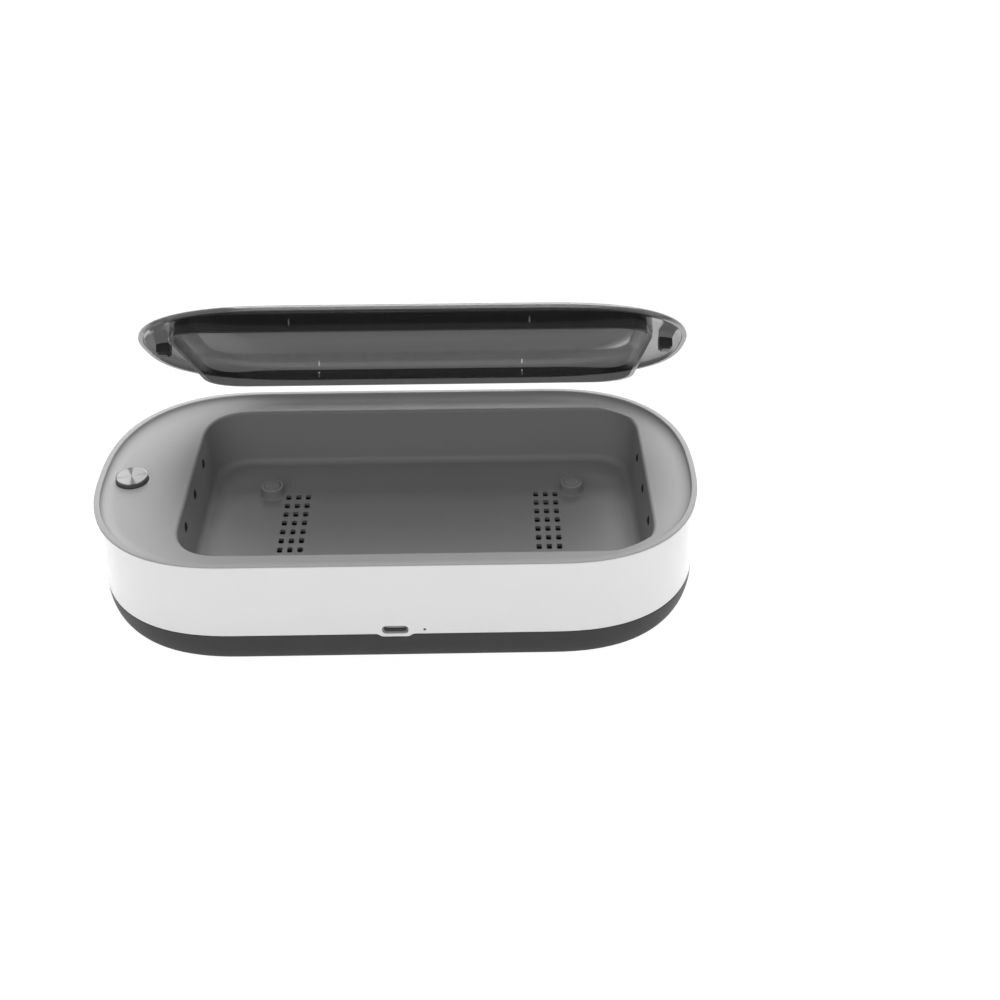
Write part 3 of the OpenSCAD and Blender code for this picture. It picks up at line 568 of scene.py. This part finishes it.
def cutLiner(liner):
    vent = {"x": 0.0495, "columns": 3, "rows": 8, "pitchX": 0.0039, "pitchY": 0.0058,
            "halfX": 0.001, "halfY": 0.0016, "points": 24, "square": 0.45, "flare": 0.00025,
            "lip": 0.0004, "draft": 0.0006, "step": 0.0002, "past": 0.001}
    port = {"room": 0.0003, "reach": 0.004, "points": 32}
    hole = {"room": 0.00025, "below": 0.004, "above": 0.002, "points": 64}
    floor, lipLow = tub["floor"], tub["floor"] - vent["lip"]

    def squared(value):
        return math.copysign(abs(value) ** vent["square"], value)

    def ventLine(x, y, grow):
        turns = [2 * math.pi * i / vent["points"] for i in range(vent["points"])]
        return [(x + (vent["halfX"] + grow) * squared(math.cos(a)),
                 y + (vent["halfY"] + grow) * squared(math.sin(a))) for a in turns]

    # each hole widens below its lip, so that only the dark inside shows through it
    depths = [(vent["flare"], floor + vent["past"]), (vent["flare"], floor + vent["step"]),
              (0.0, floor - vent["step"] / 2), (0.0, lipLow), (vent["draft"], lipLow - vent["step"]),
              (vent["draft"], floor - tub["thick"] - vent["past"])]
    tools = []
    for side in (-1, 1):
        for i in range(vent["columns"]):
            for j in range(vent["rows"]):
                x = tub["middle"] + side * vent["x"] + (i - (vent["columns"] - 1) / 2) * vent["pitchX"]
                y = (j - (vent["rows"] - 1) / 2) * vent["pitchY"]
                tools.append(loft("vent", [level(ventLine(x, y, grow), z) for grow, z in depths]))
    for node in ("led_windows_left", "led_windows_right"):
        low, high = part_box(node)
        middle = (low.x + high.x) / 2
        spots, z, radius = portSpots(node)
        for y in spots:
            ring = circleLine(y, z, radius + port["room"], port["points"])
            ends = (middle - port["reach"], middle + port["reach"])
            tools.append(loft("port", [[(x, a, b) for a, b in ring] for x in ends]))
    low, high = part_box("button_cap")
    ring = circleLine((low.x + high.x) / 2, 0, (high.x - low.x) / 2 + hole["room"], hole["points"])
    heights = (box["deck"] - hole["below"], box["deck"] + hole["above"])
    tools.append(loft("button hole", [level(ring, z) for z in heights]))
    combine(liner, joinPieces("liner tool", tools))
    return liner


def makeWindows(node, name):
    # dark domed windows that fill the ports, their rims flush with the tub's wall
    size = {"radius": 0.00195, "out": 0.00075, "rise": 0.0006, "points": 32}
    low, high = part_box(node)
    side = 1 if low.x > tub["middle"] else -1
    face, back = (low.x - size["out"], high.x) if side > 0 else (high.x + size["out"], low.x)
    profile = [(size["radius"], back), (size["radius"], face)]
    profile += [(share * size["radius"], face - side * size["rise"] * (1 - share ** 2))
                for share in (0.95, 0.8, 0.6, 0.35, 0.1)]
    spots, middle, _ = portSpots(node)
    windows = []
    for y in spots:
        rings = [[(x, a, b) for a, b in circleLine(y, middle, r, size["points"])] for r, x in profile]
        windows.append(loft("window", rings))
    return joinPieces(name, windows)


def makeRests():
    print("phone rests")
    size = {"radius": 0.0045, "foot": 0.001, "edge": 0.0004, "groove": 0.0002, "deep": 0.0005,
            "sunk": 0.0008, "padRadius": 0.0032, "padProud": 0.0002, "padEdge": 0.0004, "padRound": 0.0003}
    top, floor = padHigh.z - size["padProud"], tub["floor"]
    radius, foot, edge, pad = size["radius"], size["foot"], size["edge"], size["padRadius"]
    shape = [(radius + foot, floor - size["sunk"]), (radius + foot, floor)]
    shape += arc(radius + foot, floor + foot, -foot, -foot, 90, 0, 4)
    shape += arc(radius - edge, top - edge, edge, edge, 0, 90, 4)
    shape += [(pad + size["groove"], top), (pad + size["groove"], top - size["deep"]),
              (pad - size["groove"], top - size["deep"])]
    padShape = [(pad, top - size["sunk"])]
    padShape += arc(pad - size["padEdge"], padHigh.z - size["padRound"], size["padEdge"], size["padRound"],
                    0, 90, 4)
    posts, pads = [], []
    for side in (-1, 1):
        for y in (padLow.y + pad, padHigh.y - pad):
            x = (padLow.x + padHigh.x) / 2 + side * ((padHigh.x - padLow.x) / 2 - pad)
            posts.append(loft("post", [level(circleLine(x, y, r), z) for r, z in shape]))
            pads.append(loft("pad", [level(circleLine(x, y, r, 40), z) for r, z in padShape]))
    return joinPieces("restPosts", posts), joinPieces("restPads", pads)


def makeBase():
    print("dark base")
    size = {"proud": 0.0008, "roundIn": 0.009, "roundHigh": 0.0133, "floor": 0.002, "tongue": 0.0012,
            "tongueHigh": 0.003, "gap": 0.0001, "lip": 0.00035, "near": 0.0011}
    low, seam, wall = size["proud"], box["seam"], box["wall"]
    roundTop = low + size["roundHigh"]
    inner = low + size["floor"]
    outside = arc(size["roundIn"], roundTop, -size["roundIn"], -size["roundHigh"], 90, 0, 12)
    outside += arc(size["lip"], seam - size["lip"], -size["lip"], size["lip"], 0, 90, 4)
    tongue = wall + size["gap"]
    outside += [(tongue, seam), (tongue, seam + size["tongueHigh"]),
                (tongue + size["tongue"], seam + size["tongueHigh"]), (tongue + size["tongue"], roundTop)]
    outside += arc(wall + size["roundIn"], roundTop, -size["roundIn"], -(roundTop - inner), 0, 90, 8)
    rings = []
    for inset, z in outside:
        nearSeam = seam - size["near"] < z < seam + size["near"]
        rings.append(level(boxLine(inset), z, box["tabDepth"] if nearSeam else 0.0))
    return loft("darkBase", rings)


def cutBase(base):
    size = {"footRoom": 0.00005, "headRadius": 0.0029, "headTop": 0.0048, "below": 0.003,
            "socketRoom": 0.001, "pipeRoom": 0.0006, "notchDeep": 0.004, "notchTop": 0.03}
    tools = []
    for x, y, radius, low, high in solidSpots("rubber_feet"):
        ring = circleLine(x, y, radius + size["footRoom"])
        tools.append(loft("recess", [level(ring, low - size["below"]), level(ring, high)]))
    for x, y, _, low, _ in solidSpots("base_screws"):
        ring = circleLine(x, y, size["headRadius"])
        tools.append(loft("recess", [level(ring, low - size["below"]), level(ring, size["headTop"])]))
    combine(base, joinPieces("base tool", tools))
    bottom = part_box("usb_c_receptacle")[0].z
    front = -box["halfWidth"] + box["wall"]
    notches = []
    for node, room in (("usb_c_receptacle", size["socketRoom"]), ("light_pipe", size["pipeRoom"])):
        low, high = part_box(node)
        notches.append(makeBlock("notch", (low.x - room, front, bottom),
                                 (high.x + room, front + size["notchDeep"], size["notchTop"])))
    combine(base, joinPieces("base notches", notches))
    return base


def solidSpots(node):
    # middle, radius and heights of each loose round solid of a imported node
    mesh = bmesh.new()
    mesh.from_mesh(nodes[node].data)
    bmesh.ops.remove_doubles(mesh, verts=mesh.verts, dist=merging["packed"])
    left = set(mesh.verts)
    spots = []
    while left:
        group, queue = set(), [left.pop()]
        while queue:
            point = queue.pop()
            group.add(point)
            for edge in point.link_edges:
                other = edge.other_vert(point)
                if other in left:
                    left.discard(other)
                    queue.append(other)
        xs, ys, zs = zip(*(point.co for point in group))
        spots.append(((min(xs) + max(xs)) / 2, (min(ys) + max(ys)) / 2, (max(xs) - min(xs)) / 2,
                      min(zs), max(zs)))
    mesh.free()
    return sorted(spots)


def makeButton():
    print("button")
    size = {"bevel": 0.0004, "dish": 0.00012, "stem": 0.002, "high": 0.0032, "footBevel": 0.0002}
    low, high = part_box("button_cap")
    x, radius = (low.x + high.x) / 2, (high.x - low.x) / 2
    bodyLow, bevel = high.z - size["high"], size["bevel"]
    profile = [(size["stem"], low.z), (size["stem"], bodyLow), (radius - size["footBevel"], bodyLow),
               (radius, bodyLow + size["footBevel"])]
    profile += arc(radius - bevel, high.z - bevel, bevel, bevel, 0, 90, 5)
    shares = [0.88 - 0.11 * i for i in range(8)]
    profile += [(radius * share, high.z - size["dish"] * (1 - share ** 2)) for share in shares]
    return loft("buttonCap", [level(circleLine(x, 0, r, 96), z) for r, z in profile])


lid = {
    "halfLength": (lidHigh.x - lidLow.x) / 2,
    "middle": (lidHigh.x + lidLow.x) / 2,
    "halfWidth": 0.0545,
    "reach": 0.0576,
    "full": 2.6,
    "under": box["deck"] + 0.0025,
    "thick": 0.0017,
    "edge": 0.0007,
    "edgeRound": 0.0002,
    "domeEnd": 0.013,
    "domeSide": 0.008,
    "domeRise": 0.0035,
    "skirtGap": 0.0017,
    "skirt": 0.0018,
    "skirtDeep": 0.0041,
    "past": 0.001,          # how far the skirt's limit reaches below the skirt
    "slitX": 0.0409,
    "slitHalf": 0.00025,
    "slitHigh": 0.0022,
    "slitFront": 0.002,     # how far each slit starts below the flange
    "slitBack": 0.001,
}


def lidLine(insetX, insetY):
    return cornerLine(lid["halfLength"] - insetX, lid["halfWidth"] - insetY,
                      lid["reach"] - insetX, lid["halfWidth"] - insetY, lid["middle"], lid["full"])


def domeRings(inset, low, rise, steps=12):
    # the lid's rounding, from its upright edge in to its flat top
    rings = []
    for i in range(steps + 1):
        a = math.radians(90 * i / steps)
        share = 1 - math.cos(a)
        rings.append(level(lidLine(inset + (lid["domeEnd"] - inset) * share,
                                   inset + (lid["domeSide"] - inset) * share), low + rise * math.sin(a)))
    return rings


def tipLid(piece):
    # the lid is made closed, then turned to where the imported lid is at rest
    joint = joints["lid_tip"]
    pivot = Vector(joint["pos_m"])
    turn = Matrix.Rotation(-math.radians(joint["range_deg"][1]), 4, "X")
    piece.data.transform(Matrix.Translation(pivot) @ turn @ Matrix.Translation(-pivot))
    return piece


def makeLid():
    print("smoked lid")
    under, thick, small = lid["under"], lid["thick"], lid["edgeRound"]
    top = under + lid["edge"] + lid["domeRise"]
    rings = list(reversed(domeRings(thick, under + small, top - thick - under - small)))
    foot = arc(thick - small, under + small, small, -small, 0, 90, 3)
    foot += arc(small, under + small, -small, -small, 90, 0, 3)
    rings += [level(lidLine(inset, inset), z) for inset, z in foot]
    rings += domeRings(0.0, under + lid["edge"], lid["domeRise"])
    panel = loft("smokedLid", rings)
    gap, skirt, deep = lid["skirtGap"], lid["skirt"], under - lid["skirtDeep"]
    profile = [(gap, top)]
    profile += arc(gap + small, deep + small, -small, -small, 0, 90, 3)
    profile += arc(gap + skirt - small, deep + small, small, -small, 90, 0, 3)
    profile += [(gap + skirt, top)]
    ring = loft("skirt", [level(tubLine(inset), z) for inset, z in profile], closed=True)
    half = thick / 2
    limit = [level(lidLine(half, half), deep - lid["past"])] + domeRings(half, under, top - half - under)
    combine(ring, loft("skirt limit", limit), "INTERSECT")
    combine(panel, ring, "UNION")
    # four narrow slits in the skirt's long sides
    inner, outer = tub["width"] / 2 - gap - skirt - small, tub["width"] / 2 - gap + small
    slits = []
    for sideX in (-1, 1):
        x = lid["middle"] + sideX * lid["slitX"]
        for y0, y1, drop in ((-outer, -inner, lid["slitFront"]), (inner, outer, lid["slitBack"])):
            slits.append(makeBlock("slit", (x - lid["slitHalf"], y0, under - drop),
                                   (x + lid["slitHalf"], y1, under - drop + lid["slitHigh"])))
    combine(panel, joinPieces("slits", slits))
    return tipLid(panel)


wall = cutWall(makeWall())
finishPiece(wall, "box", "outer_shell", "white_shell", wallFinish.material)
liner = cutLiner(makeLiner())
posts, pads = makeRests()
liner = joinPieces("greyLiner", [liner, posts])
finishPiece(liner, "box", "inner_tub", "tub_grey", linerFinish.material)
finishPiece(pads, "box", "phone_rest_pads", "pad_silicone", padFinish.material)
print("lamp windows")
for node, name in (("led_windows_left", "windowsLeft"), ("led_windows_right", "windowsRight")):
    finishPiece(makeWindows(node, name), "box", node, "window_quartz", windowFinish.material)
base = cutBase(makeBase())
finishPiece(base, "box", "base_cover", "base_dark", baseFinish.material)
button = makeButton()
finishPiece(button, "button", "button_cap", "button_metal", buttonFinish.material)
lidPiece = makeLid()
finishPiece(lidPiece, "lid", "lid_cover", "lid_smoke", smokeFinish.material)

print("small pieces")
softPieces = {
    "lid_magnet_holders": ("magnetHolders", "lid", "holder_black", holderFinish, 0.0002),
    "rubber_feet": ("rubberFeet", "box", "foot_rubber", rubberFinish, 0.0006),
    "usb_c_receptacle": ("socket", "box", "socket_steel", socketFinish, 0.00008),
    "base_screws": ("baseScrews", "box", "screw_steel", steelFinish, 0.0002),
}
for node, (name, body, slot, finish, width) in softPieces.items():
    finishPiece(softened(node, name, width), body, node, slot, finish.material, 50)

keptFinishes = {
    "main_board": boardFinish,
    "switch_board": boardFinish,
    "led_board_left": boardFinish,
    "led_board_right": boardFinish,
    "board_components": chipFinish,
    "button_switch": chipFinish,
    "lid_sensor": chipFinish,
    "switch_plunger": chipFinish,
    "board_screws": steelFinish,
    "status_led": lampFinish,
    "uvc_leds_left": lampFinish,
    "uvc_leds_right": lampFinish,
    "light_pipe": pipeFinish,
    "led_lead_left": redLeadFinish,
    "led_lead_right": redLeadFinish,
    "button_lead": blueLeadFinish,
    "deck_magnets": nickelFinish,
    "lid_magnets": nickelFinish,
}
for node, finish in keptFinishes.items():
    setFinish(nodes[node], finish.material)


def makeStage():
    print("floor, lamps and camera")
    # lift is the floor's own glow for all but the camera
    level = {"size": 8, "low": -0.0002, "tone": 0.8, "glow": 1.06, "shown": 0.93, "lift": 0.388}
    deselectAll()
    bpy.ops.mesh.primitive_plane_add(size=level["size"], location=(0, 0, level["low"]))
    floor = bpy.context.object
    floor.name = "floor"
    bpy.ops.object.transform_apply(location=True, rotation=True, scale=True)
    pale = bpy.data.materials.new("pale floor")
    pale.use_nodes = True
    tree = pale.node_tree
    tree.nodes.clear()

    def shader(kind, key=None, value=None):
        made = tree.nodes.new("ShaderNode" + kind)
        if value is not None:
            made.inputs[key].default_value = value
        return made

    matt = shader("BsdfDiffuse", "Color", (level["tone"],) * 3 + (1,))
    lit, seen = shader("AddShader"), shader("MixShader")
    shown = shader("MixShader", 0, level["shown"])
    links = [
        (matt, 0, lit, 0),
        (shader("Emission", "Strength", level["lift"]), 0, lit, 1),
        (matt, 0, shown, 1),
        (shader("Emission", "Strength", level["glow"]), 0, shown, 2),
        (shader("LightPath"), "Is Camera Ray", seen, 0),
        (lit, 0, seen, 1),
        (shown, 0, seen, 2),
        (seen, 0, shader("OutputMaterial"), 0),
    ]
    for start, output, end, entry in links:
        tree.links.new(start.outputs[output], end.inputs[entry])
    setFinish(floor, pale)


def makeWorld():
    level = {"ambient": 0.171, "reflected": 0.5, "background": 1.0}
    world = bpy.data.worlds.new("studio")
    bpy.context.scene.world = world
    world.use_nodes = True
    tree = world.node_tree
    tree.nodes.clear()
    output = tree.nodes.new("ShaderNodeOutputWorld")
    path = tree.nodes.new("ShaderNodeLightPath")
    shown = None
    for name, ray in (("ambient", None), ("reflected", "Is Glossy Ray"), ("background", "Is Camera Ray")):
        sky = tree.nodes.new("ShaderNodeBackground")
        sky.inputs["Color"].default_value = (1, 1, 1, 1)
        sky.inputs["Strength"].default_value = level[name]
        if ray:
            mix = tree.nodes.new("ShaderNodeMixShader")
            tree.links.new(path.outputs[ray], mix.inputs[0])
            tree.links.new(shown.outputs[0], mix.inputs[1])
            tree.links.new(sky.outputs[0], mix.inputs[2])
            sky = mix
        shown = sky
    tree.links.new(shown.outputs[0], output.inputs[0])


lamps = {
    "front": {"place": (-0.2, -1.6, 0.9), "size": 1.2, "power": 5.5},
    "top": {"place": (0.1, 0.3, 1.6), "size": 1.4, "power": 26.7},
    "back": {"place": (0.1, 1.6, 0.8), "size": 1.2, "power": 22.2},
}


def makeLamps():
    for name, lamp in lamps.items():
        light = bpy.data.lights.new(name, "AREA")
        light.size = lamp["size"]
        light.energy = lamp["power"]
        holder = bpy.data.objects.new(name, light)
        bpy.context.scene.collection.objects.link(holder)
        holder.location = lamp["place"]
        aim = Vector((0, 0, 0.04)) - holder.location
        holder.rotation_euler = aim.to_track_quat("-Z", "Y").to_euler()


def makeCamera():
    view = {"place": (0.031016, -0.442467, 0.346703), "yaw": -0.0171, "pitch": 0.6167, "roll": -0.0036,
            "lens": 50.64, "sensor": 36.0}
    data = bpy.data.cameras.new("camera")
    data.lens = view["lens"]
    data.sensor_width = view["sensor"]
    camera = bpy.data.objects.new("camera", data)
    bpy.context.scene.collection.objects.link(camera)
    turn = Matrix.Rotation(view["yaw"], 3, "Z") @ Matrix.Rotation(math.pi / 2 - view["pitch"], 3, "X")
    camera.rotation_euler = (turn @ Matrix.Rotation(view["roll"], 3, "Z")).to_euler()
    camera.location = view["place"]
    bpy.context.scene.camera = camera


makeStage()
makeWorld()
makeLamps()
makeCamera()
bpy.context.scene.view_settings.view_transform = "Standard"

bpy.context.view_layer.update()
